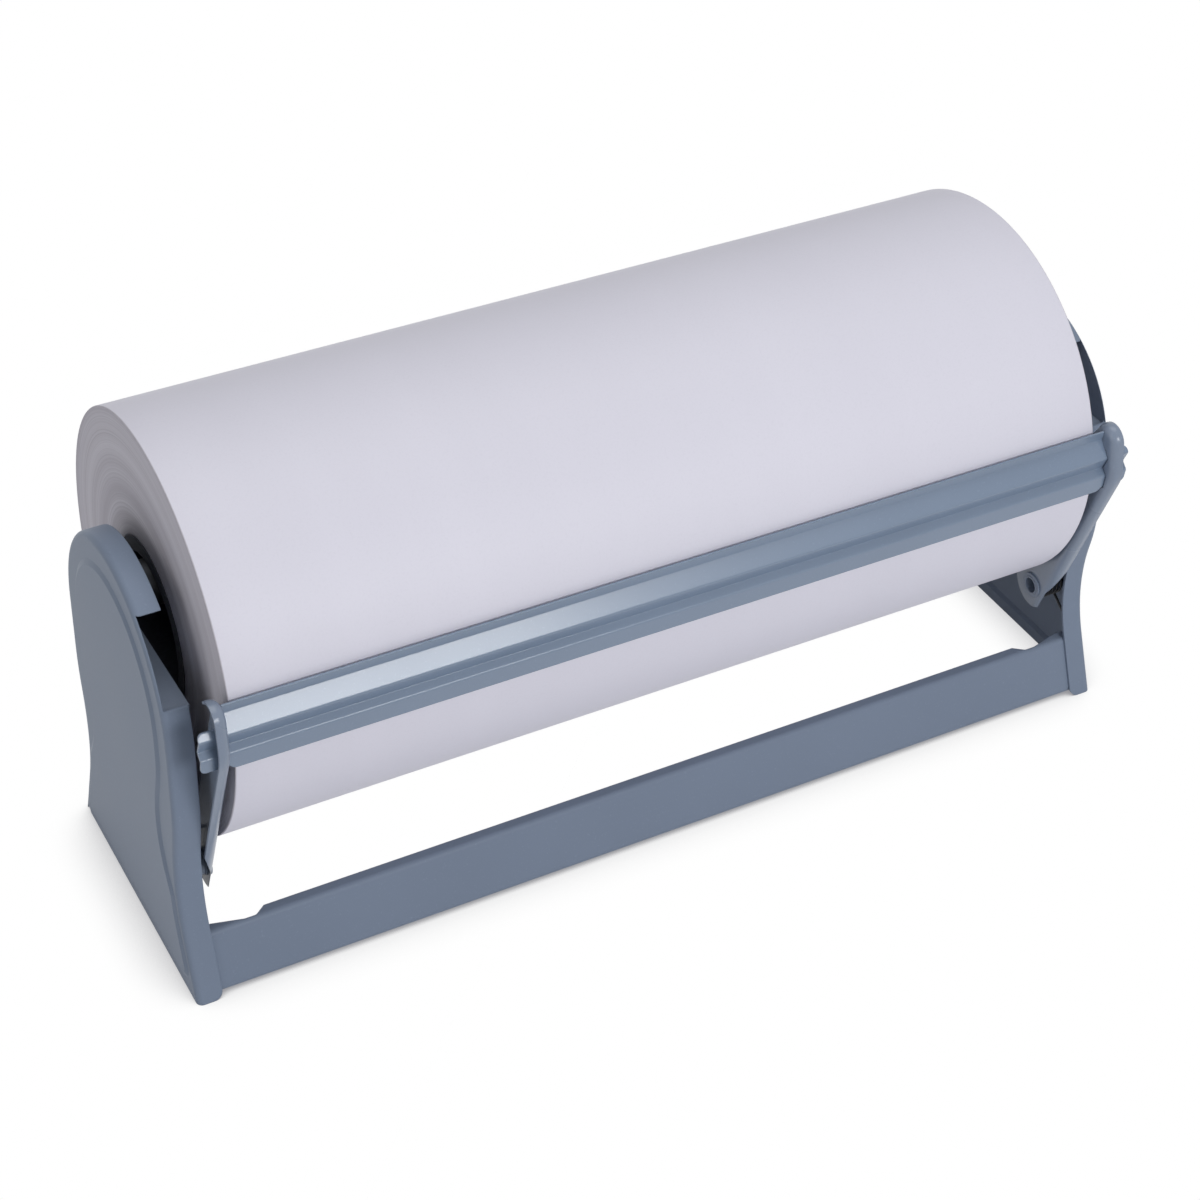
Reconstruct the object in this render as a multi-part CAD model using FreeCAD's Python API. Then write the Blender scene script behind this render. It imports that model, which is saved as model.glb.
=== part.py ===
import FreeCAD, Part
import math
import os

# Counter-top gift wrap cutter, full roll loaded. Millimetres.
# X runs along the roll, Y runs to the back, Z is up and the table is Z = 0.
# Sections are drawn with Y = 0 on the middle of the end frames. Every piece is
# then moved along Y, so that the origin lies under the middle of the whole.

# Paper roll and its core
roll_radius = 114.3
roll_length = 508.0
core_bore_radius = 38.1
core_wall = 8.0
roll_y = 20.5
roll_z = 165.3
roll_front_y = roll_y - roll_radius
roll_side_gap = 27.0

# Shaft that the roll hangs on
shaft_radius = 12.7
shaft_wall = 1.6
shaft_end_gap = 0.6
rolling_gap = 0.3

# End frames, pressed from sheet
half_width = roll_length / 2 + roll_side_gap
frame_sheet = 1.5
frame_bend = 3.5
flange_depth = 14.0
foot_half = 87.0
flare_angle = 20.0
waist_in = 19.0
neck_half = foot_half - waist_in
neck_z = 70.0
bulge_in = 13.0
bulge_half = foot_half - bulge_in
bulge_z = 122.0
crown_z = 156.5
foot_corner = 5.0
relief_radius = 2.5

# Raised panel on each end frame
panel_rise = 1.2
panel_slope = 3.0
panel_base_z = 7.0
panel_margin = 5.0
panel_foot_half = foot_half + 6.0
panel_flare = 30.0
panel_neck_half = neck_half - 17.0
panel_neck_z = 96.0
panel_bulge_half = bulge_half - 14.0
panel_bulge_z = 148.0
panel_corner = 8.0

# Slot in the front flange that the shaft comes out through
slot_low_z = 181.5
slot_high_z = 219.0

# Ledge inside each end frame that the shaft rests and rolls on
track_sheet = 2.0
track_bend = 3.0
track_fall = 1.5
track_front_y = -66.8
track_stop_gap = 1.0
track_stop_height = 14.0
track_leg_height = 14.0
track_leg_front_y = -48.0
track_leg_rear_y = 26.0

# Rails between the end frames
rail_sheet = 1.5
rail_bend = 2.5
rail_low_z = 1.0
rail_high_z = 34.0
rail_lip = 6.0
rail_end_gap = 2.6
scoop_outset = 15.0
scoop_length = 31.0
scoop_depth = 4.8
scoop_ramp = 18.5
scoop_ramp_corner = 6.0
scoop_step = 6.0
scoop_step_corner = 2.5

# Pivot of the blade, the same in both end frames
pivot_inset = 19.2
pivot_y = pivot_inset - neck_half
pivot_z = 60.5
journal_radius = 5.8
journal_clearance = 0.05
stud_radius = 6.8
stud_bore = 4.6
stud_foot_radius = 8.0
stud_foot = 1.5
stud_tip = 1.2
washer_radius = 7.5
washer_thick = 0.8
ring_radius = 7.8
ring_thick = 0.9
side_play = 0.1

# Arms that carry the blade
arm_inset = 22.5
arm_sheet = 1.5
arm_bend = 5.0
arm_rim = 7.0
tab_radius = 14.5
nose_radius = 9.5
nose_behind_roll = 0.3
nose_y = roll_front_y + nose_behind_roll
nose_z = 190.0
knee_before_roll = 11.8
knee_y = roll_front_y - knee_before_roll
knee_z = 171.0
knee_radius = 25.0
arm_front_reach = 11.92
rim_full_z = 82.0
rim_end_z = 62.0
rim_wrap_angle = 35.0

# Blade section: distance down from the top edge, distance out from its chord
blade_sheet = 1.2
blade_bend = 0.9
blade_behind_roll = 1.3
blade_top_y = roll_front_y + blade_behind_roll
blade_top_z = 196.0
blade_lean = 7.0
lip_out = 1.0
groove_down = 5.2
groove_out = -0.6
crest_down = 15.0
crest_out = 4.6
valley_down = 22.4
valley_out = 0.2
ridge_down = 26.4
ridge_out = 3.4
blade_height = 37.0
blade_corner = 5.0
hem_out = 0.2
stub_top = 11.0
stub_bottom = 34.5
stub_reach = 14.3
stub_corner = 3.0
stub_clearance = 0.6
stub_hole_bend = 1.3

# Torsion springs round the pivots
wire_radius = 0.8
coil_radius = 8.4
coil_inset = 5.5
coil_length = 12.0
coil_turns = 4
foot_leg_angle = 35.9
foot_leg_gap = 0.15
arm_leg_length = 18.0
hook_bend = 2.4
hook_length = 3.6
hook_hole_clearance = 0.4

# Worked-out places
frame_inner_x = half_width - flange_depth
plate_inner_x = half_width - frame_sheet
panel_inner_x = plate_inner_x + panel_rise
web_inner_x = half_width - arm_inset
web_outer_x = web_inner_x + arm_sheet
shaft_z = roll_z + core_bore_radius - shaft_radius - rolling_gap
quarter_turn = 90.0
full_turn = 360.0
far = 60.0


def point(x, y, z):
    return FreeCAD.Vector(x, y, z)


def flat(y, z):
    """A point of a section, which is drawn on the plane X = 0."""
    return FreeCAD.Vector(0, y, z)


def turned(angle):
    """Unit vector at an angle from +Y towards +Z, in degrees."""
    return flat(math.cos(math.radians(angle)), math.sin(math.radians(angle)))


def line(a, b):
    return Part.LineSegment(a, b).toShape()


def arc(a, middle, b):
    return Part.Arc(a, middle, b).toShape()


def polygon(points):
    return Part.Face(Part.makePolygon(points + points[:1]))


def slab(face, x_from, x_to):
    """Section face pushed along X."""
    moved = face.copy()
    moved.translate(point(x_from, 0, 0))
    return moved.extrude(point(x_to - x_from, 0, 0))


def disc(radius, y, z, x_from, x_to):
    return Part.makeCylinder(radius, x_to - x_from, point(x_from, y, z), point(1, 0, 0))


def ring(outer, inner, y, z, x_from, x_to):
    return disc(outer, y, z, x_from, x_to).cut(disc(inner, y, z, x_from, x_to))


def corner(before, at, after, radius):
    """Where a corner's arc starts, its middle and end, and its centre's side."""
    into = (at - before).normalize()
    out = (after - at).normalize()
    half_turn = math.acos(max(-1.0, min(1.0, into.dot(out)))) / 2
    reach = radius * math.tan(half_turn)
    inward = (out - into).normalize()
    centre = at + inward * (radius / math.cos(half_turn))
    return at - into * reach, centre - inward * radius, at + out * reach, centre


def rounded(points, radii):
    """Closed section face, each corner with its own radius (0 keeps it sharp)."""
    edges = []
    count = len(points)
    starts = []
    ends = []
    middles = []
    for i in range(count):
        if radii[i] > 0:
            first, middle, last, _ = corner(points[i - 1], points[i], points[(i + 1) % count], radii[i])
        else:
            first, middle, last = points[i], None, points[i]
        starts.append(first)
        middles.append(middle)
        ends.append(last)
    for i in range(count):
        if middles[i] is not None:
            edges.append(arc(starts[i], middles[i], ends[i]))
        nearby = starts[(i + 1) % count]
        if ends[i].distanceToPoint(nearby) > 1e-6:
            edges.append(line(ends[i], nearby))
    return Part.Face(Part.Wire(edges))


def bent_sheet(path, thickness, bend):
    """Face of a bent sheet: path is its middle line, bend its middle radius."""
    stations = []
    along = (path[1] - path[0]).normalize()
    stations.append((path[0], along))
    for before, at, after in zip(path, path[1:], path[2:]):
        first, middle, last, centre = corner(before, at, after, bend)
        into = (at - before).normalize()
        out = (after - at).normalize()
        stations.append((first, into))
        stations.append((middle, (into + out).normalize()))
        stations.append((last, out))
    stations.append((path[-1], (path[-1] - path[-2]).normalize()))
    sides = []
    for side in (thickness / 2, -thickness / 2):
        sides.append([at + flat(-way.z, way.y) * side for at, way in stations])
    edges = []
    for points in sides:
        edges.append(line(points[0], points[1]))
        for i in range(1, len(points) - 1, 3):
            edges.append(arc(points[i], points[i + 1], points[i + 2]))
            edges.append(line(points[i + 2], points[i + 3]))
    edges.append(line(sides[0][0], sides[1][0]))
    edges.append(line(sides[0][-1], sides[1][-1]))
    return Part.Face(Part.Wire(Part.__sortEdges__(edges)))


def round_edges(solid, radius, wanted):
    return solid.makeFillet(radius, [edge for edge in solid.Edges if wanted(edge)])


def middle_of(edge):
    return edge.valueAt((edge.FirstParameter + edge.LastParameter) / 2)


def on_plane(x):
    """Test for edges that lie on the plane at X."""
    def lies(edge):
        return all(abs(vertex.X - x) < 1e-6 for vertex in edge.Vertexes)
    return lies


def one_solid(shape):
    cleaned = shape.removeSplitter()
    return max(cleaned.Solids, key=lambda solid: solid.Volume)


def mirrored(shape):
    return shape.mirror(point(0, 0, 0), point(1, 0, 0))


# Outline shared by the end frame and its raised panel

def waisted_outline(foot, base, flare, neck, waist_z, bulge, full_z, inset):
    """Waisted outline with a round top; all its curves meet smoothly."""
    lean = math.radians(flare)
    neck_radius = neck + (waist_z - base) * math.tan(lean) - foot
    neck_radius /= math.sin(lean) * math.tan(lean) - 1 + math.cos(lean)
    rise = full_z - waist_z
    swell = bulge - neck
    s_radius = (rise ** 2 + swell ** 2) / (4 * swell)
    s_half = math.asin(rise / 2 / s_radius) / 2

    def neck_point(angle):
        return (neck + neck_radius * (1 - math.cos(angle)), waist_z - neck_radius * math.sin(angle))

    def low_s(angle):
        return (neck + s_radius * (1 - math.cos(angle)), waist_z + s_radius * math.sin(angle))

    def high_s(angle):
        return (bulge - s_radius * (1 - math.cos(angle)), full_z - s_radius * math.sin(angle))

    foot_at = (foot, base)
    flare_end = neck_point(lean)
    runs = [
        (foot_at, flare_end),
        (flare_end, neck_point(lean / 2), neck_point(0)),
        (neck_point(0), low_s(s_half), low_s(2 * s_half)),
        (low_s(2 * s_half), high_s(s_half), high_s(0)),
        (high_s(0), (bulge, crown_z)),
    ]
    edges = []
    for side in (-1, 1):
        for run in runs:
            placed = [flat(side * half, z) for half, z in run]
            edges.append(line(*placed) if len(placed) == 2 else arc(*placed))
    edges.append(arc(flat(-bulge, crown_z), flat(0, crown_z + bulge), flat(bulge, crown_z)))
    edges.append(line(flat(-foot, base), flat(foot, base)))
    face = Part.Face(Part.Wire(Part.__sortEdges__(edges)))
    return face.makeOffset2D(-inset) if inset else face


def frame_outline(inset):
    """Outline of the end frame, carried on below the table to be cut there."""
    below = far / 2
    spread = foot_half + below * math.tan(math.radians(flare_angle))
    return waisted_outline(spread, -below, flare_angle, neck_half, neck_z,
                           bulge_half, bulge_z, inset)


def panel_outline():
    """Outline of the panel, waisted more than the frame and kept off its edge."""
    waisted = waisted_outline(panel_foot_half, panel_base_z, panel_flare, panel_neck_half,
                              panel_neck_z, panel_bulge_half, panel_bulge_z, 0)
    return waisted.common(frame_outline(panel_margin)).Faces[0]


def panel_block():
    """Shallow raised block with sloped sides, its wide face at X = 0."""
    wide = panel_outline().extrude(point(panel_rise, 0, 0))

    def bottom_corner(edge):
        at = middle_of(edge)
        upright = abs(edge.Vertexes[0].X - edge.Vertexes[-1].X) > panel_rise / 2
        return upright and at.z < panel_base_z + 1e-3

    wide = round_edges(wide, panel_corner, bottom_corner)
    base_face = min(wide.Faces, key=lambda face: face.CenterOfMass.x)
    top_face = base_face.makeOffset2D(-panel_slope)
    top_wire = top_face.OuterWire
    top_wire.translate(point(panel_rise, 0, 0))
    return Part.makeLoft([base_face.OuterWire, top_wire], True, True)


# Fixed pieces

def end_frame():
    """Right end frame: a pressed plate with a flange round its front, top and back."""
    body = slab(frame_outline(0), frame_inner_x, half_width)
    body = round_edges(body, frame_bend, on_plane(half_width))
    hollow = slab(frame_outline(frame_sheet), frame_inner_x - 1, plate_inner_x)
    hollow = round_edges(hollow, frame_bend - frame_sheet, on_plane(plate_inner_x))
    raised = panel_block()
    raised.translate(point(half_width, 0, 0))
    recess = panel_block()
    recess.translate(point(plate_inner_x, 0, 0))
    body = body.fuse(raised).cut(hollow.fuse(recess))
    wide = 2 * (foot_half + far)
    below = Part.makeBox(wide, wide, far, point(half_width - wide / 2, -wide / 2, -far))
    body = body.cut(below)
    relief_y = foot_half - frame_bend - relief_radius
    body = body.cut(disc(relief_radius, relief_y, 0, half_width - far / 2, half_width + far))
    for side in (-1, 1):
        body = body.cut(foot_rounding(side))
    slot_height = slot_high_z - slot_low_z
    slot = Part.makeBox(far, bulge_half, slot_height, point(plate_inner_x - far, -bulge_half, slot_low_z))
    body = body.cut(slot)
    return one_solid(body)


def foot_rounding(side):
    """What is trimmed off the inner bottom corner of a flange foot."""
    block = Part.makeBox(foot_corner, far, foot_corner, point(frame_inner_x, -far / 2, 0))
    pin = Part.makeCylinder(foot_corner, far, point(frame_inner_x + foot_corner, -far / 2, foot_corner),
                            point(0, 1, 0))
    trim = block.cut(pin)
    trim.translate(point(0, side * foot_half, 0))
    return trim


def shaft_track():
    """Ledge inside the right end frame, turned up behind the shaft."""
    rearward = turned(-track_fall)
    normal = turned(quarter_turn - track_fall)
    under_shaft = flat(roll_y, shaft_z) - normal * (shaft_radius + rolling_gap + track_sheet / 2)
    to_front = (under_shaft.y - track_front_y) / rearward.y
    to_stop = shaft_radius + track_stop_gap + track_sheet / 2
    front = under_shaft - rearward * to_front
    rear = under_shaft + rearward * to_stop
    tip = rear + normal * track_stop_height
    shelf = bent_sheet([front, rear, tip], track_sheet, track_bend + track_sheet / 2)
    ledge = slab(shelf, web_inner_x + arm_rim, plate_inner_x - side_play)
    below = normal * (-track_sheet / 2)
    leg_front = front + rearward * ((track_leg_front_y - front.y) / rearward.y) + below
    leg_rear = front + rearward * ((track_leg_rear_y - front.y) / rearward.y) + below
    drop = flat(0, -track_leg_height)
    leg = polygon([leg_front, leg_rear, leg_rear + drop, leg_front + drop])
    leg = slab(leg, panel_inner_x - track_sheet, panel_inner_x)
    overlap = polygon([leg_front, leg_rear, leg_rear - below * 2, leg_front - below * 2])
    bend = slab(overlap, plate_inner_x - track_sheet, panel_inner_x)
    return one_solid(ledge.fuse(leg).fuse(bend))


def rail_path():
    """Middle line of the front rail's channel, lying behind the frame flanges."""
    lean = math.tan(math.radians(flare_angle))
    back = (frame_sheet + rail_sheet / 2) / math.cos(math.radians(flare_angle))
    low = rail_low_z + rail_sheet / 2
    high = rail_high_z - rail_sheet / 2
    low_y = -foot_half + low * lean + back
    high_y = -foot_half + high * lean + back
    return [flat(low_y + rail_lip, low), flat(low_y, low), flat(high_y, high), flat(high_y + rail_lip, high)]


def front_rail():
    path = rail_path()
    reach = plate_inner_x - rail_end_gap
    rail = slab(bent_sheet(path, rail_sheet, rail_bend), -reach, reach)
    for side in (-1, 1):
        rail = rail.cut(scoop(side, path[-1].y))
    return one_solid(rail)


def scoop(side, rear_y):
    """Finger scoop in the back edge of the rail's top, steeper on its inner side."""
    outer = half_width - scoop_outset
    inner = outer - scoop_length
    beyond = 1.0
    corners = [
        point(side * (outer + scoop_ramp / scoop_depth * beyond), rear_y + beyond, 0),
        point(side * (outer - scoop_ramp), rear_y - scoop_depth, 0),
        point(side * (inner + scoop_step), rear_y - scoop_depth, 0),
        point(side * (inner - scoop_step / scoop_depth * beyond), rear_y + beyond, 0)]
    face = rounded(corners, [0, scoop_ramp_corner, scoop_step_corner, 0])
    face.translate(point(0, 0, rail_high_z - 2 * rail_sheet))
    return face.extrude(point(0, 0, 3 * rail_sheet))


def rear_rail():
    reach = plate_inner_x - rail_end_gap
    path = [flat(-at.y, at.z) for at in rail_path()]
    return slab(bent_sheet(path, rail_sheet, rail_bend), -reach, reach)


def pivot_stud():
    """Hollow stepped stud on the plate of the right end frame."""
    shoulder_x = web_outer_x + side_play + washer_thick
    tip_x = web_inner_x - stud_tip
    stud = disc(stud_foot_radius, pivot_y, pivot_z, panel_inner_x - stud_foot, panel_inner_x)
    stud = stud.fuse(disc(stud_radius, pivot_y, pivot_z, shoulder_x, panel_inner_x - stud_foot))
    stud = stud.fuse(disc(journal_radius, pivot_y, pivot_z, tip_x, shoulder_x))
    stud = stud.cut(disc(stud_bore, pivot_y, pivot_z, tip_x, panel_inner_x - stud_foot))
    return one_solid(stud)


def pivot_washer():
    start = web_outer_x + side_play
    return ring(washer_radius, journal_radius, pivot_y, pivot_z, start, start + washer_thick)


def retaining_ring():
    end = web_inner_x - side_play
    return ring(ring_radius, journal_radius, pivot_y, pivot_z, end - ring_thick, end)


# Swinging pieces

def arm_front_points():
    """Front of the arm: its bottom, its knee and where it meets the round nose."""
    knee = flat(knee_y, knee_z)
    nose = flat(nose_y, nose_z)
    down = flat(pivot_y, pivot_z) - knee
    fall = math.degrees(math.atan2(down.z, down.y) - math.asin(arm_front_reach / down.Length))
    low = knee + turned(fall) * 3 * far
    apart = nose - knee
    away = math.degrees(math.atan2(apart.z, apart.y))
    turn = math.degrees(math.asin(nose_radius / apart.Length))
    way = turned(away + turn)
    meet = knee + way * math.sqrt(apart.Length ** 2 - nose_radius ** 2)
    return low, knee, meet, nose


def arm_shell_face(inset):
    """Large section whose front and nose are those of the arm."""
    low, knee, meet, nose = arm_front_points()
    first, middle, last, _ = corner(low, knee, meet, knee_radius)
    wrap = nose + turned(rim_wrap_angle) * nose_radius
    tail = wrap + turned(rim_wrap_angle - quarter_turn) * 2 * far
    edges = [
        line(low, first),
        arc(first, middle, last),
        line(last, meet),
        arc(meet, nose + turned(quarter_turn + rim_wrap_angle) * nose_radius, wrap),
        line(wrap, tail),
        line(tail, flat(tail.y, low.z)),
        line(flat(tail.y, low.z), low)]
    face = Part.Face(Part.Wire(edges))
    return face.makeOffset2D(-inset) if inset else face


def arm_web_face():
    """Flat of the arm: round tab at the pivot, round nose at the top."""
    low, knee, meet, nose = arm_front_points()
    pivot = flat(pivot_y, pivot_z)
    axis = (nose - pivot).normalize()
    rearward = flat(axis.z, -axis.y)
    lean = (tab_radius - nose_radius) / (nose - pivot).Length
    side = rearward * math.sqrt(1 - lean ** 2) + axis * lean
    first, middle, last, _ = corner(low, knee, meet, knee_radius)
    way = (knee - low).normalize()
    ahead = (pivot - low).dot(way)
    offset = (low + way * ahead - pivot).Length
    join = low + way * (ahead + math.sqrt(tab_radius ** 2 - offset ** 2))
    edges = [
        arc(pivot + side * tab_radius, pivot - axis * tab_radius, join),
        line(join, first),
        arc(first, middle, last),
        line(last, meet),
        arc(meet, nose + axis * nose_radius, nose + side * nose_radius),
        line(nose + side * nose_radius, pivot + side * tab_radius)]
    return Part.Face(Part.Wire(edges))


def rim_keep_face():
    """Where the arm keeps its turned rim: the front, and over the nose."""
    nose = flat(nose_y, nose_z)
    pivot = flat(pivot_y, pivot_z)
    return polygon([
        nose,
        nose + turned(rim_wrap_angle) * far / 2,
        nose + flat(-far, far / 2),
        flat(nose.y - far, pivot.z - tab_radius),
        flat(pivot.y, pivot.z - tab_radius)])


def rim_taper():
    """What is trimmed off the foot of the rim, so that it runs out into the web."""
    wedge = Part.Face(Part.makePolygon([
        point(web_outer_x, -2 * far, rim_end_z),
        point(web_inner_x + arm_rim, -2 * far, rim_full_z),
        point(web_inner_x + 2 * arm_rim, -2 * far, rim_full_z),
        point(web_inner_x + 2 * arm_rim, -2 * far, 0),
        point(web_outer_x, -2 * far, 0),
        point(web_outer_x, -2 * far, rim_end_z)]))
    return wedge.extrude(point(0, 2 * far, 0))


def blade_arm():
    """Right arm: a flat web with a soft bend into a rim along its front."""
    outer = slab(arm_shell_face(0), web_inner_x, web_inner_x + arm_rim)
    outer = round_edges(outer, arm_bend, arm_front_edges(web_inner_x))
    inner = slab(arm_shell_face(arm_sheet), web_outer_x, web_inner_x + arm_rim + 1)
    inner = round_edges(inner, arm_bend - arm_sheet, arm_front_edges(web_outer_x))
    shell = outer.cut(inner)
    web = shell.common(slab(arm_web_face(), web_inner_x, web_outer_x))
    rim = shell.common(slab(rim_keep_face(), web_inner_x, web_inner_x + arm_rim))
    in_web = slab(arm_web_face(), web_inner_x, web_inner_x + arm_rim)
    arm = web.fuse(rim.common(in_web).cut(rim_taper()))
    bore = journal_radius + journal_clearance
    arm = arm.cut(disc(bore, pivot_y, pivot_z, web_inner_x - 1, web_outer_x + 1))
    hole = hook_place()
    arm = arm.cut(disc(wire_radius + hook_hole_clearance, hole.y, hole.z, web_inner_x - 1, web_outer_x + 1))
    window = blade_face(blade_sheet + 2 * stub_clearance, stub_hole_bend)
    window = window.common(blade_band(stub_top - stub_clearance, stub_bottom + stub_clearance))
    arm = arm.cut(window.extrude(point(arm_bend + 1, 0, 0)).translated(point(web_inner_x - 1, 0, 0)))
    return one_solid(arm)


def arm_front_edges(x):
    """Test for the edges along the arm's front and over its nose."""
    low, knee, meet, nose = arm_front_points()
    lies = on_plane(x)

    def wanted(edge):
        at = middle_of(edge)
        behind = at.y > nose_y + nose_radius + far / 2 and at.z < nose_z - far
        bottom = at.z < low.z + arm_sheet + 1
        return lies(edge) and not behind and not bottom
    return wanted


def blade_place(down, out):
    """Point of the blade section from its distance down and out."""
    lean = math.radians(blade_lean)
    down_way = flat(-math.sin(lean), -math.cos(lean))
    out_way = flat(-math.cos(lean), math.sin(lean))
    return flat(blade_top_y, blade_top_z) + down_way * down + out_way * out


def blade_face(thickness, bend):
    """Section of the blade bar, as thick and as softly bent as asked."""
    half = blade_sheet / 2
    path = [
        blade_place(0, lip_out - half),
        blade_place(groove_down, groove_out - half),
        blade_place(crest_down, crest_out - half),
        blade_place(valley_down, valley_out - half),
        blade_place(ridge_down, ridge_out - half),
        blade_place(blade_height, hem_out - half)]
    return bent_sheet(path, thickness, bend)


def blade_band(top, bottom):
    """Broad face across the blade section, between two distances from its top."""
    reach = 2 * (crest_out + blade_sheet)
    return polygon([
        blade_place(top, reach), blade_place(bottom, reach),
        blade_place(bottom, -reach), blade_place(top, -reach)])


def blade_bar():
    """Rolled blade bar; its ends carry on through both arms as narrower stubs."""
    section = blade_face(blade_sheet, blade_bend)
    reach = web_inner_x + stub_reach
    full = blade_block(web_inner_x, -far, blade_height, [0, 0, blade_corner, blade_corner])
    narrow = blade_block(reach, stub_top, stub_bottom, [stub_corner] * 4)
    bar = slab(section, -reach, reach)
    return one_solid(bar.common(full).fuse(bar.common(narrow)))


def blade_block(reach, top, bottom, radii):
    """Block across the blade between two distances from its top, with its own corners."""
    deep = 2 * (crest_out + blade_sheet + 1)
    corners = [
        flat(-reach, top), flat(reach, top),
        flat(reach, bottom), flat(-reach, bottom)]
    face = rounded(corners, radii)
    block = slab(face, -deep / 2, deep / 2)
    lean = math.radians(blade_lean)
    block = block.transformGeometry(FreeCAD.Matrix(
        0, 1, 0, 0,
        math.cos(lean), 0, -math.sin(lean), blade_top_y,
        -math.sin(lean), 0, -math.cos(lean), blade_top_z,
        0, 0, 0, 1))
    return block


# Springs

def biarc(start, start_way, end, end_way):
    """Two arcs from start to end that keep both directions."""
    gap = end - start
    both = start_way + end_way
    bend = 2 * (1 - start_way.dot(end_way))
    reach = (math.sqrt(gap.dot(both) ** 2 + bend * gap.dot(gap)) - gap.dot(both)) / bend
    first = start + start_way * reach
    second = end - end_way * reach
    join = (first + second) * 0.5
    return [tangent_arc(start, first, join), tangent_arc(join, second, end)]


def tangent_arc(start, apex, end):
    """Arc that touches start-apex and apex-end at its ends."""
    chord_middle = (start + end) * 0.5
    half_chord = (end - start).Length / 2
    height = (apex - chord_middle).Length
    half_turn = math.atan2(height, half_chord)
    sag = half_chord * math.tan(half_turn / 2)
    return arc(start, chord_middle + (apex - chord_middle) * (sag / height), end)


def arm_axis():
    return (flat(nose_y, nose_z) - flat(pivot_y, pivot_z)).normalize()


def hook_place():
    """Centre of the hole in the arm that the spring hooks into."""
    axis = arm_axis()
    rearward = flat(axis.z, -axis.y)
    return flat(pivot_y, pivot_z) + rearward * coil_radius + axis * (arm_leg_length + hook_bend)


def coil_angles():
    """Angle where the coil starts and how far it turns, in degrees."""
    start = foot_leg_angle - quarter_turn
    axis = arm_axis()
    end = math.degrees(math.atan2(-axis.y, axis.z))
    return start, end - start + full_turn * coil_turns


def coil_point(share):
    """Point of the coil and its direction, share going from 0 to 1."""
    start, turn = coil_angles()
    angle = math.radians(start + turn * share)
    x = panel_inner_x - coil_inset - coil_length * share
    at = point(x, pivot_y + coil_radius * math.cos(angle), pivot_z + coil_radius * math.sin(angle))
    slope = coil_length / (math.radians(turn) * coil_radius)
    way = point(-slope, -math.sin(angle), math.cos(angle))
    if share in (0, 1):
        way.x = 0
    return at, way.normalize()


def torsion_spring():
    """Right spring: a leg on the front rail, the coil, and a leg hooked into the arm."""
    start, turn = coil_angles()
    steps = math.ceil(turn / quarter_turn)
    places = [coil_point(i / steps) for i in range(steps + 1)]
    first, first_way = places[0]
    last, last_way = places[-1]
    lowest = rail_high_z + foot_leg_gap + wire_radius
    leg = (first.z - lowest) / first_way.z
    toe = first - first_way * leg
    edges = [line(toe, first)]
    for (a, a_way), (b, b_way) in zip(places, places[1:]):
        edges += biarc(a, a_way, b, b_way)
    top = last + last_way * arm_leg_length
    inward = point(-1, 0, 0)
    bend_end = top + (last_way + inward) * hook_bend
    bend_middle = top + (last_way * math.sin(math.pi / 4) + inward * (1 - math.cos(math.pi / 4))) * hook_bend
    edges.append(line(last, top))
    edges.append(arc(top, bend_middle, bend_end))
    edges.append(line(bend_end, bend_end + inward * hook_length))
    path = Part.Wire(edges)
    ring_wire = Part.Wire(Part.makeCircle(wire_radius, toe, first_way))
    solid = path.makePipeShell([ring_wire], True, False)
    report_gap(path, solid)
    return solid


def report_gap(path, solid):
    """Least gap of the coil to itself, measured on points of its middle line."""
    points = path.discretize(Distance=0.5)
    nearby = int(math.pi * coil_radius / 0.5)
    least = min(
        (a - b).Length
        for i, a in enumerate(points)
        for b in points[i + nearby:])
    share = solid.Volume / (math.pi * wire_radius ** 2 * path.Length)
    print("spring: least gap to itself %.2f, volume to section times length %.4f"
          % (least - 2 * wire_radius, share))


# Roll

def paper_roll():
    inner = core_bore_radius + core_wall
    return ring(roll_radius, inner, roll_y, roll_z, -roll_length / 2, roll_length / 2)


def core_tube():
    outer = core_bore_radius + core_wall
    return ring(outer, core_bore_radius, roll_y, roll_z, -roll_length / 2, roll_length / 2)


def roll_shaft():
    reach = plate_inner_x - shaft_end_gap
    return ring(shaft_radius, shaft_radius - shaft_wall, roll_y, shaft_z, -reach, reach)


def middle_y():
    """Middle of the whole along Y, between the arms' knees and the back of the roll."""
    low, knee, meet, _ = arm_front_points()
    _, _, _, centre = corner(low, knee, meet, knee_radius)
    return (centre.y - knee_radius + roll_y + roll_radius) / 2


def write(node, shape):
    placed = shape.copy()
    placed.translate(point(0, -middle_y(), 0))
    if not placed.isValid() or len(placed.Solids) != 1:
        print("check", node, "valid", placed.isValid(), "solids", len(placed.Solids))
    placed.exportStep("parts/%s.step" % node)


def main():
    os.makedirs("parts", exist_ok=True)
    pairs = {
        "end_frame": end_frame,
        "shaft_track": shaft_track,
        "pivot_stud": pivot_stud,
        "pivot_washer": pivot_washer,
        "retaining_ring": retaining_ring,
        "blade_arm": blade_arm,
        "torsion_spring": torsion_spring,
    }
    for name, make in pairs.items():
        right = make()
        write("right_" + name, right)
        write("left_" + name, mirrored(right))
    single = {
        "front_cross_rail": front_rail,
        "rear_cross_rail": rear_rail,
        "blade_bar": blade_bar,
        "paper_roll": paper_roll,
        "core_tube": core_tube,
        "roll_shaft": roll_shaft,
    }
    for name, make in single.items():
        write(name, make())
    origin_y = middle_y()
    print("origin_y %.4f" % origin_y)
    print("pivot y %.4f z %.4f" % (pivot_y - origin_y, pivot_z))
    print("roll y %.4f z %.4f, shaft z %.4f" % (roll_y - origin_y, roll_z, shaft_z))
    print("feet y %.4f %.4f" % (frame_sheet / 2 - foot_half - origin_y, foot_half - frame_sheet / 2 - origin_y))


main()
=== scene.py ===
import math

import bmesh
import bpy
from mathutils import Matrix, Vector, noise


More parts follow.
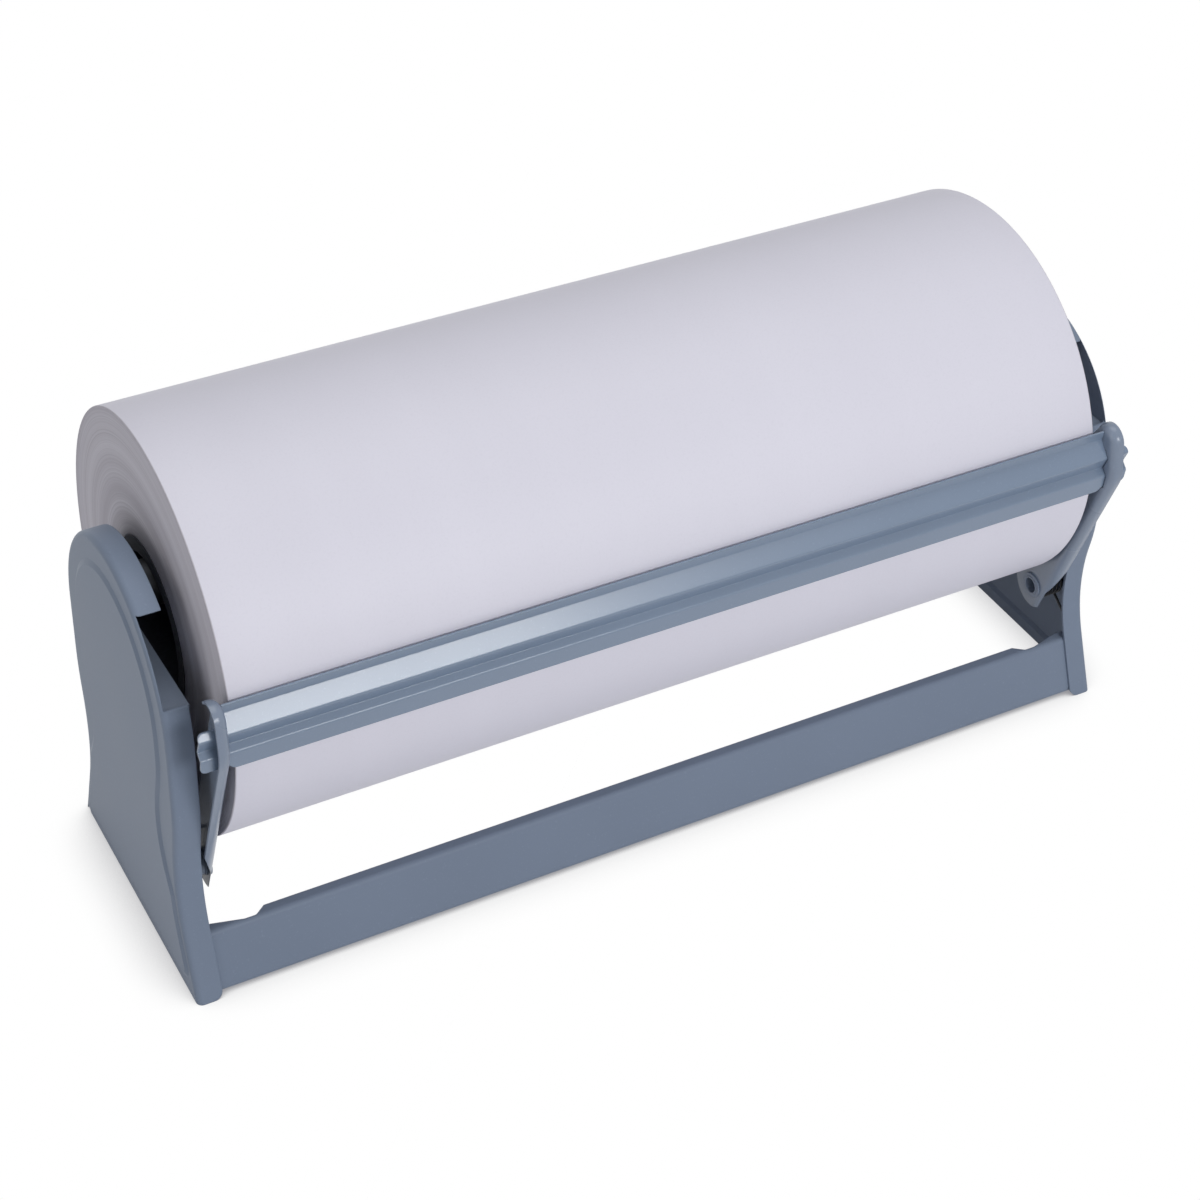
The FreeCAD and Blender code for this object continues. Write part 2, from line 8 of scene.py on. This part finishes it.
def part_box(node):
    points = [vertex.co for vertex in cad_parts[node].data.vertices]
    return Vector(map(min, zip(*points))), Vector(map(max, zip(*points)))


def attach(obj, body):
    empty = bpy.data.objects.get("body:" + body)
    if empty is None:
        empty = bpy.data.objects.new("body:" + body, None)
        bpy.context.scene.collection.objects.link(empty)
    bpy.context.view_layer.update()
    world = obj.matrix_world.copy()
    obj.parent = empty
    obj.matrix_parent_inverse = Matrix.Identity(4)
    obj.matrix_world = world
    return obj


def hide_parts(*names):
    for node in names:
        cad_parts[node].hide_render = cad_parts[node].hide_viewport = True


# Counter-top gift wrap cutter: finishes, paper roll, stage, lights and camera.
# Metres. X runs along the roll, Y to the back and Z up, as in the CAD frame.

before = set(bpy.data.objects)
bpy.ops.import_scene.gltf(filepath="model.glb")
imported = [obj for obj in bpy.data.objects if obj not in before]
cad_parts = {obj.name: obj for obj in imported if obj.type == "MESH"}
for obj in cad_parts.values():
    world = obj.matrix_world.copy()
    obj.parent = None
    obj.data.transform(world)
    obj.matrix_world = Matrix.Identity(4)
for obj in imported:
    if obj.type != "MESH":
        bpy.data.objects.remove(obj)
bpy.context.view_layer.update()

MM = 0.001
WHITE = (1.0, 1.0, 1.0, 1.0)

# Photograph's view: where the camera stands and how it is turned, in radians
CAMERA_PLACE = (-0.5835, -1.0768, 1.0399)
CAMERA_YAW = 0.4978
CAMERA_PITCH = 0.5845
CAMERA_ROLL = 0.0189
CAMERA_LENS = 82.50
CAMERA_SENSOR = 36.0
CAMERA_SHIFT_Y = -0.1667
CAMERA_NEAREST = 0.05

# Paper roll: its soft rim and how finely its surface is divided
RIM_RADIUS = 0.9 * MM
RIM_STEPS = 4
END_RINGS = 54
ROUND_STEPS = 192
LENGTH_STEPS = 24

# Paper roll: unevenness of the layers on its ends and slackness of its outer turns
LAYER_DEPTH = 0.45 * MM
BROAD_WAVES = 90
FINE_WAVES = 420
SLACK_DEPTH = 0.12 * MM
SLACK_START = 0.9
SLACK_WAVES_ROUND = 2.2
SLACK_WAVES_ALONG = 5

# Stage and lights
FLOOR_REACH = 8.0
SHADE_REACH = 0.045
SURROUND_LIGHT = 0.28
LIT_POINT = (0.0, 0.0, 0.15)


def srgb(red, green, blue):
    """Colour written as 0 to 255 per channel, as the linear colour that a shader takes."""
    def linear(level):
        level /= 255
        return level / 12.92 if level <= 0.04045 else ((level + 0.055) / 1.055) ** 2.4
    return (linear(red), linear(green), linear(blue), 1.0)


def shaded(colour, factor):
    """The colour with its light made stronger or weaker."""
    return tuple(min(1.0, level * factor) for level in colour[:3]) + (1.0,)


# Shader maths

class Number:
    """A socket that gives a number, with arithmetic that adds Math nodes."""

    def __init__(self, nodes, socket):
        self.nodes = nodes
        self.socket = socket

    def maths(self, operation, *values):
        node = self.nodes.node("ShaderNodeMath", {"operation": operation}, dict(enumerate(values)))
        return Number(self.nodes, node.outputs[0])

    def __add__(self, other):
        return self.maths("ADD", self, other)

    def __sub__(self, other):
        return self.maths("SUBTRACT", self, other)

    def __rsub__(self, other):
        return self.maths("SUBTRACT", other, self)

    def __mul__(self, other):
        return self.maths("MULTIPLY", self, other)

    def __pow__(self, other):
        return self.maths("POWER", self, other)

    __radd__ = __add__
    __rmul__ = __mul__

    def clipped(self, low, high):
        """Share from 0 to 1 as the number goes from low to high."""
        node = self.nodes.node("ShaderNodeMapRange", {"interpolation_type": "SMOOTHSTEP"},
                               {"Value": self, "From Min": low, "From Max": high})
        return Number(self.nodes, node.outputs["Result"])


class Nodes:
    """A node tree, emptied, and the ways to add nodes to it."""

    def __init__(self, tree):
        self.tree = tree
        self.tree.nodes.clear()

    def node(self, kind, settings=None, sockets=None):
        """Adds one node: its type, its settings, then its sockets' values or links."""
        node = self.tree.nodes.new(kind)
        for name, value in (settings or {}).items():
            setattr(node, name, value)
        for name, value in (sockets or {}).items():
            self.join(node.inputs[name], value)
        return node

    def join(self, socket, value):
        """Links a socket to another one, or gives it a value."""
        if isinstance(value, Number):
            value = value.socket
        if isinstance(value, bpy.types.NodeSocket):
            self.tree.links.new(value, socket)
        else:
            socket.default_value = value

    def seen_directly(self):
        """1 where the camera sees a place itself, in a reflection or through glass."""
        ray = self.node("ShaderNodeLightPath").outputs
        direct = Number(self, ray["Is Camera Ray"])
        direct = direct.maths("MAXIMUM", direct, ray["Is Glossy Ray"])
        return direct.maths("MAXIMUM", direct, ray["Is Transmission Ray"])


class Finish(Nodes):
    """A material, its shader and the ways to build its looks."""

    def __init__(self, name, **uniform):
        self.material = bpy.data.materials.new(name)
        self.material.use_nodes = True
        super().__init__(self.material.node_tree)
        self.shader = self.node("ShaderNodeBsdfPrincipled")
        self.output = self.node("ShaderNodeOutputMaterial", {}, {"Surface": self.shader.outputs[0]})
        for socket, value in uniform.items():
            self.set(socket.replace("_", " "), value)

    def set(self, socket, value):
        self.join(self.shader.inputs[socket], value)

    def place(self):
        """Position on the piece in metres; it stays with the piece as it moves."""
        return self.node("ShaderNodeTexCoord").outputs["Object"]

    def stretched(self, place, scale):
        node = self.node("ShaderNodeVectorMath", {"operation": "MULTIPLY"}, {0: place, 1: scale})
        return node.outputs[0]

    def noise(self, place, size, detail=2.0, roughness=0.5):
        """Cloudy number from 0 to 1, with spots about size metres wide."""
        node = self.node("ShaderNodeTexNoise", {}, {
            "Vector": place, "Scale": 1 / size, "Detail": detail, "Roughness": roughness})
        return Number(self, node.outputs["Fac"])

    def mix(self, share, first, second):
        """Colour between two colours."""
        node = self.node("ShaderNodeMix", {"data_type": "RGBA"}, {0: share, 6: first, 7: second})
        return node.outputs[2]

    def edges(self, radius):
        """Normal as if each edge were rounded, and how much of an edge a spot is."""
        soft = self.node("ShaderNodeBevel", {"samples": 4}, {"Radius": radius}).outputs[0]
        plain = self.node("ShaderNodeNewGeometry").outputs["Normal"]
        along = self.node("ShaderNodeVectorMath", {"operation": "DOT_PRODUCT"}, {0: soft, 1: plain})
        return soft, (1 - Number(self, along.outputs["Value"])).clipped(0.0, 0.3)

    def bump(self, height, depth, normal=None):
        """Gives the shader relief: height from 0 to 1 is depth metres."""
        sockets = {"Height": height, "Distance": depth}
        if normal is not None:
            sockets["Normal"] = normal
        self.set("Normal", self.node("ShaderNodeBump", {}, sockets).outputs[0])


# Finishes

def enamel(name, colour, gloss=0.30, shine=0.5):
    """Baked enamel on sheet steel: orange peel, faint clouding, lighter specks and a painted highlight
    on the edges.
    """
    finish = Finish(name, Specular_IOR_Level=0.5 * shine, Coat_Roughness=0.16)
    place = finish.place()
    cloud = finish.noise(place, 90 * MM, 3.0)
    speck = finish.noise(place, 1.1 * MM, 1.0)
    peel = finish.noise(place, 1.7 * MM, 1.0)
    soft, edge = finish.edges(0.7 * MM)
    # Lighter tone: used for the specks and for the painted highlight on the edges.
    speck_and_edge_highlight = shaded(colour, 1.45)
    clouded = finish.mix(cloud, shaded(colour, 0.94), shaded(colour, 1.06))
    specked = finish.mix(speck.clipped(0.62, 0.8) * 0.25, clouded, speck_and_edge_highlight)
    # Painted highlight: the edges are lightened in the base colour.
    finish.set("Base Color", finish.mix(edge * 0.35, specked, speck_and_edge_highlight))
    finish.set("Roughness", gloss + (cloud - 0.5) * 0.10)
    finish.set("Coat Weight", 0.4 * shine ** 2)
    finish.bump(peel, 0.012 * MM, soft)
    return finish.material


def dark_steel(name, colour, roughness):
    """Blackened steel with fine lines round the X axis."""
    finish = Finish(name, Metallic=1.0)
    place = finish.place()
    lines = finish.noise(finish.stretched(place, (24.0, 1.0, 1.0)), 4 * MM, 3.0)
    bloom = finish.noise(place, 12 * MM, 3.0)
    soft, edge = finish.edges(0.3 * MM)
    finish.set("Base Color", finish.mix(bloom, colour, shaded(colour, 0.86)))
    finish.set("Roughness", roughness + (lines - 0.5) * 0.22 + edge * 0.05)
    finish.bump(lines, 0.010 * MM, soft)
    return finish.material


def core_board(name):
    """Dark grey wound board with fibres and flecks."""
    finish = Finish(name, Specular_IOR_Level=0.25, Roughness=0.82)
    place = finish.place()
    fibres = finish.noise(finish.stretched(place, (1.0, 3.0, 3.0)), 2.2 * MM, 4.0)
    flecks = finish.noise(place, 0.9 * MM, 2.0)
    patch = finish.noise(place, 30 * MM, 2.0)
    board = finish.mix(patch, srgb(52, 55, 64), srgb(64, 67, 77))
    board = finish.mix(fibres.clipped(0.35, 0.7) * 0.5, board, srgb(44, 47, 55))
    finish.set("Base Color", finish.mix(flecks.clipped(0.66, 0.74) * 0.5, board, srgb(88, 90, 99)))
    finish.bump(fibres, 0.08 * MM)
    return finish.material


def wrap_paper(name, axis_y, axis_z, half_length):
    """Plain pale gift wrap: soft sheen, faint bands along the web, wound layers on the ends."""
    finish = Finish(name, Specular_IOR_Level=0.35)
    place = finish.place()
    parts = finish.node("ShaderNodeSeparateXYZ", {}, {0: place})
    x, y, z = (Number(finish, part) for part in parts.outputs)
    radius = ((y - axis_y) ** 2 + (z - axis_z) ** 2) ** 0.5
    flank = x.maths("ABSOLUTE", x).clipped(half_length - RIM_RADIUS, half_length - RIM_RADIUS / 3)
    on_radius = finish.node("ShaderNodeCombineXYZ", {}, {0: radius}).outputs[0]
    broad = finish.noise(on_radius, 11 * MM, 2.0)
    layers = finish.noise(on_radius, 1.1 * MM, 3.0, 0.7)
    fibre = finish.noise(place, 1.2 * MM, 3.0)
    band = finish.noise(finish.stretched(place, (1.0, 0.02, 0.02)), 50 * MM, 2.0)
    web = finish.mix(band, srgb(211, 210, 222), srgb(216, 215, 227))
    web = finish.mix(fibre.clipped(0.45, 0.8) * 0.12, web, srgb(190, 189, 202))
    rings = finish.mix(broad.clipped(0.35, 0.65), srgb(194, 191, 200), srgb(212, 210, 219))
    rings = finish.mix(layers.clipped(0.4, 0.72) * 0.55, rings, srgb(164, 160, 170))
    finish.set("Base Color", finish.mix(flank, web, rings))
    finish.set("Roughness", 0.52 + flank * 0.3 + (band - 0.5) * 0.05)
    relief = fibre * 0.25 * (1 - flank) + layers * flank * 0.9
    finish.bump(relief, 0.09 * MM)
    return finish.material


ENAMEL = srgb(121, 133, 152)

finishes = {
    "frame_enamel": enamel("frame_enamel", ENAMEL, 0.42, 0.2),
    "arm_enamel": enamel("arm_enamel", ENAMEL, 0.28, 0.7),
    "blade_enamel": enamel("blade_enamel", srgb(116, 132, 154), 0.24, 0.8),
    "track_enamel": enamel("track_enamel", srgb(124, 135, 152), 0.36),
    "stud_enamel": enamel("stud_enamel", ENAMEL, 0.34),
    "spring_steel": dark_steel("spring_steel", srgb(62, 63, 66), 0.42),
    "shaft_steel": dark_steel("shaft_steel", srgb(84, 86, 91), 0.36),
    "core_board": core_board("core_board"),
}

node_finish = {
    "end_frame": "frame_enamel",
    "cross_rail": "frame_enamel",
    "shaft_track": "track_enamel",
    "blade_arm": "arm_enamel",
    "blade_bar": "blade_enamel",
    "pivot_stud": "stud_enamel",
    "pivot_washer": "stud_enamel",
    "retaining_ring": "stud_enamel",
    "torsion_spring": "spring_steel",
    "core_tube": "core_board",
    "roll_shaft": "shaft_steel",
}


def dress_frame():
    """Gives each CAD node that stays its finish."""
    for name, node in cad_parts.items():
        for part, finish in node_finish.items():
            if part in name:
                for slot in node.material_slots:
                    slot.material = finishes[finish]


# Paper roll

def layer_step(radius):
    """How far the layers at this radius lie in from the end of the roll."""
    broad = noise.noise(Vector((radius * BROAD_WAVES, 3.1, 0.0)))
    fine = noise.noise(Vector((radius * FINE_WAVES, 7.7, 0.0)))
    return LAYER_DEPTH * max(0.0, min(1.0, 0.5 + (broad + 0.5 * fine)))


def out_of_round(radius, outer, angle, x):
    """Slackness of the outer turns: about a tenth of a millimetre at most, inwards."""
    share = max(0.0, (radius - SLACK_START * outer) / ((1 - SLACK_START) * outer))
    ripple = noise.noise(Vector((SLACK_WAVES_ROUND * math.cos(angle),
                                 SLACK_WAVES_ROUND * math.sin(angle), x * SLACK_WAVES_ALONG)))
    return -SLACK_DEPTH * share * (0.5 + 0.5 * ripple)


def end_profile(bore, outer):
    """Radius and depth of the points from the bore, over one end, to the rounded rim."""
    flat_reach = outer - RIM_RADIUS
    profile = []
    for i in range(END_RINGS + 1):
        radius = bore + (flat_reach - bore) * i / END_RINGS
        profile.append((radius, layer_step(radius)))
    for i in range(1, RIM_STEPS + 1):
        angle = math.pi / 2 * i / RIM_STEPS
        profile.append((flat_reach + RIM_RADIUS * math.sin(angle), RIM_RADIUS * (1 - math.cos(angle))))
    return profile


def wound_roll():
    """Roll of paper with soft rims and slightly uneven layers on both ends."""
    low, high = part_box("paper_roll")
    core_low, core_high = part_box("core_tube")
    centre = (low + high) / 2
    outer = (high.z - low.z) / 2
    bore = (core_high.z - core_low.z) / 2
    half = (high.x - low.x) / 2
    profile = end_profile(bore, outer)
    left_end = [(radius, depth - half) for radius, depth in profile]
    right_end = [(radius, half - depth) for radius, depth in reversed(profile)]
    side_length = 2 * half - 2 * RIM_RADIUS
    side = [(outer, -half + RIM_RADIUS + side_length * i / LENGTH_STEPS) for i in range(1, LENGTH_STEPS)]
    mesh = bmesh.new()
    rows = []
    for radius, x in left_end + side + right_end:
        row = []
        for k in range(ROUND_STEPS):
            angle = 2 * math.pi * k / ROUND_STEPS
            here = radius + out_of_round(radius, outer, angle, x)
            row.append(mesh.verts.new((centre.x + x, centre.y + here * math.cos(angle),
                                       centre.z + here * math.sin(angle))))
        rows.append(row)
    for near, far in zip(rows, rows[1:] + rows[:1]):
        for k in range(ROUND_STEPS):
            following = (k + 1) % ROUND_STEPS
            mesh.faces.new((near[k], near[following], far[following], far[k]))
    bmesh.ops.recalc_face_normals(mesh, faces=mesh.faces)
    piece = piece_from(mesh, "wound_paper", wrap_paper("roll_paper", centre.y, centre.z, half))
    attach(piece, "roll")
    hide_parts("paper_roll")


def piece_from(mesh, name, finish):
    """Makes a smooth-shaded object of a bmesh."""
    data = bpy.data.meshes.new(name)
    mesh.to_mesh(data)
    mesh.free()
    data.materials.append(finish)
    data.shade_smooth()
    piece = bpy.data.objects.new(name, data)
    bpy.context.scene.collection.objects.link(piece)
    return piece


# Stage, lights and camera

def pale_floor():
    """White floor; the camera sees it white, with the shade close to the object."""
    mesh = bmesh.new()
    corners = ((-1, -1), (1, -1), (1, 1), (-1, 1))
    mesh.faces.new([mesh.verts.new((x * FLOOR_REACH, y * FLOOR_REACH, 0.0)) for x, y in corners])
    finish = Finish("pale_floor")
    finish.tree.nodes.remove(finish.shader)
    card = finish.node("ShaderNodeBsdfDiffuse", {}, {"Color": srgb(232, 232, 234)})
    shade = Number(finish, finish.node("ShaderNodeAmbientOcclusion", {"samples": 16},
                                       {"Distance": SHADE_REACH}).outputs["AO"])
    seen = finish.mix(shade.clipped(0.1, 0.9), srgb(150, 150, 155), srgb(255, 255, 255))
    bright = finish.node("ShaderNodeEmission", {}, {"Color": seen})
    both = finish.node("ShaderNodeMixShader", {}, {
        0: finish.seen_directly(), 1: card.outputs[0], 2: bright.outputs[0]})
    finish.join(finish.output.inputs["Surface"], both.outputs[0])
    floor = piece_from(mesh, "floor", finish.material)


def soft_light(name, place, size, power):
    """Soft box at a place, turned to the object."""
    lamp = bpy.data.lights.new(name, "AREA")
    lamp.shape = "RECTANGLE"
    lamp.size, lamp.size_y = size
    lamp.energy = power
    light = bpy.data.objects.new(name, lamp)
    light.location = place
    way = Vector(LIT_POINT) - Vector(place)
    light.rotation_mode = "QUATERNION"
    light.rotation_quaternion = way.to_track_quat("-Z", "Y")
    bpy.context.scene.collection.objects.link(light)


def studio():
    """Soft boxes and a white surround."""
    soft_light("front_box", (0.32, -2.25, 1.2), (1.15, 0.6), 27)
    soft_light("left_box", (-2.6, -0.4, 1.2), (1.4, 1.4), 8)
    soft_light("top_box", (0.2, 0.3, 2.6), (2.2, 1.6), 24)
    world = bpy.data.worlds.new("surround")
    bpy.context.scene.world = world
    world.use_nodes = True
    surround = Nodes(world.node_tree)
    soft = surround.node("ShaderNodeBackground", {}, {"Color": WHITE, "Strength": SURROUND_LIGHT})
    white = surround.node("ShaderNodeBackground", {}, {"Color": WHITE, "Strength": 1.0})
    both = surround.node("ShaderNodeMixShader", {}, {
        0: surround.seen_directly(), 1: soft.outputs[0], 2: white.outputs[0]})
    surround.node("ShaderNodeOutputWorld", {}, {"Surface": both.outputs[0]})


def photo_camera():
    """Camera at the photograph's place, angle and lens."""
    lens = bpy.data.cameras.new("camera")
    lens.lens = CAMERA_LENS
    lens.sensor_width = CAMERA_SENSOR
    lens.shift_y = CAMERA_SHIFT_Y
    lens.clip_start = CAMERA_NEAREST
    camera = bpy.data.objects.new("camera", lens)
    bpy.context.scene.collection.objects.link(camera)
    ahead = Vector((math.sin(CAMERA_YAW) * math.cos(CAMERA_PITCH),
                    math.cos(CAMERA_YAW) * math.cos(CAMERA_PITCH), -math.sin(CAMERA_PITCH)))
    level = Vector((math.cos(CAMERA_YAW), -math.sin(CAMERA_YAW), 0.0))
    above = level.cross(ahead)
    right = math.cos(CAMERA_ROLL) * level + math.sin(CAMERA_ROLL) * above
    up = math.cos(CAMERA_ROLL) * above - math.sin(CAMERA_ROLL) * level
    turn = Matrix((right, up, -ahead)).transposed().to_4x4()
    camera.matrix_world = Matrix.Translation(CAMERA_PLACE) @ turn
    bpy.context.scene.camera = camera


bpy.context.scene.view_settings.view_transform = "Standard"
dress_frame()
wound_roll()
pale_floor()
studio()
photo_camera()
